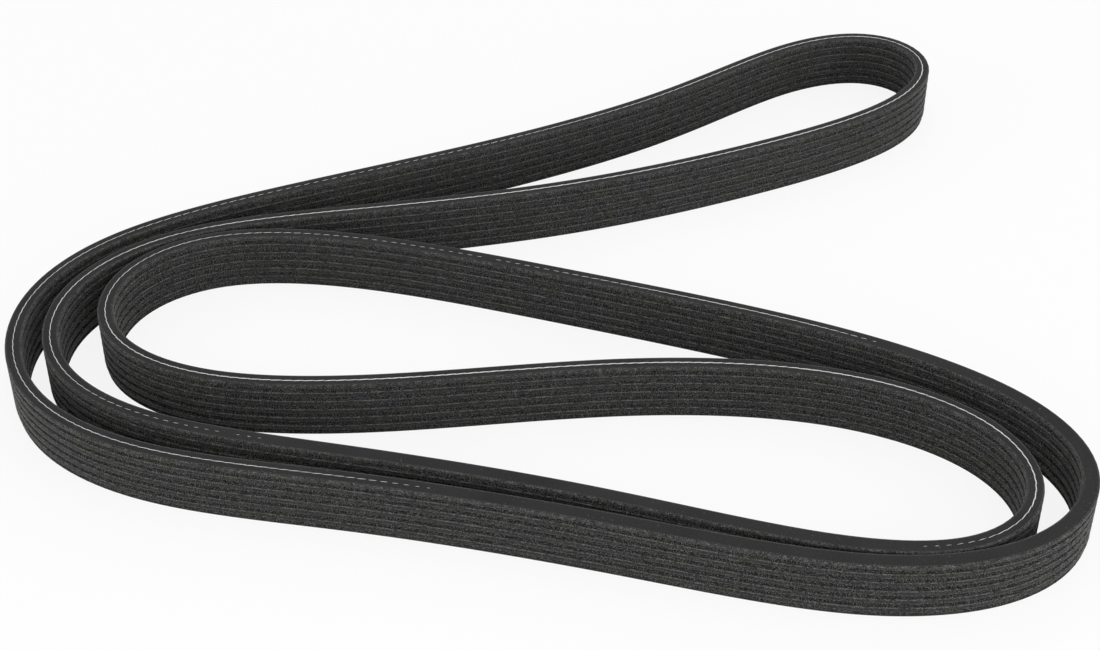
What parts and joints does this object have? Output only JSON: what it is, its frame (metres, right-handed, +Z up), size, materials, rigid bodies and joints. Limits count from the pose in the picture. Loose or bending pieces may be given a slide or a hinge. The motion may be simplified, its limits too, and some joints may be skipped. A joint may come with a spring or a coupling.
{
  "type": "serpentine belt",
  "caption": "Double-sided ribbed serpentine belt for a car engine, lying on one cut edge as a loose closed loop with long folds.",
  "frame": {"origin": "middle of the belt's box in plan, on the surface that the belt's lower cut edge rests on", "axes": "+X along the longest way across the loose loop, +Y away from the picture's viewer towards the far fold, +Z up the width of the belt"},
  "size_m": [0.3582, 0.3146, 0.0214],
  "materials": {
    "ribbed_rubber": "matte black rubber with short light fibres in the ribs",
    "cord_yarn": "dry pale polyester yarn that shows in the cut edge"
  },
  "bodies": {
    "root": {"belt": "ribbed_rubber"}
  },
  "joints": []
}
